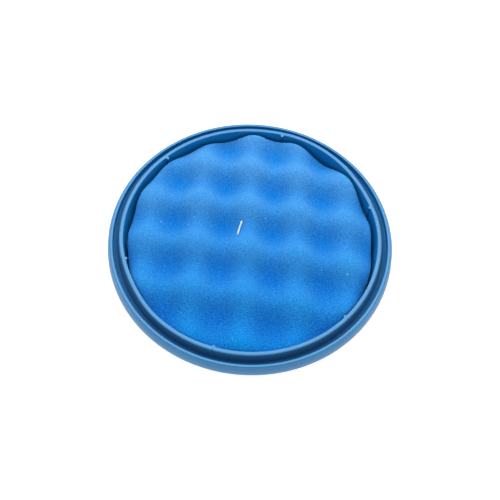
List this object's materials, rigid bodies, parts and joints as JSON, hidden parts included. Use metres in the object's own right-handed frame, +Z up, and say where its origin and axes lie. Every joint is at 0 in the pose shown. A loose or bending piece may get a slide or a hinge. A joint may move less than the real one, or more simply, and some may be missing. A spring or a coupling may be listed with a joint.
{
  "type": "sponge filter",
  "caption": "Round vacuum cleaner motor filter: an egg-crate foam disc over felt in a flared ring with a sealing channel and a thin raised lip.",
  "frame": {"origin": "middle of the underside, on the surface that the filter rests on", "axes": "+Z up along the ring's axis, out of the foam face; +Y away from a viewer who sees the pin's bar left of the middle; +X to the right"},
  "size_m": [0.1462, 0.1462, 0.0207],
  "materials": {
    "ring_blue": "smooth moulded plastic, satin",
    "grille_blue": "moulded plastic, fine matt",
    "felt_white": "needled non-woven polyester felt",
    "foam_blue": "open-cell polyurethane foam, fine cells",
    "nylon_white": "translucent moulded nylon"
  },
  "bodies": {
    "root": {"frame_ring": "ring_blue", "support_grille": "grille_blue", "felt_disc": "felt_white", "foam_pad": "foam_blue", "tag_pin": "nylon_white"}
  },
  "joints": []
}
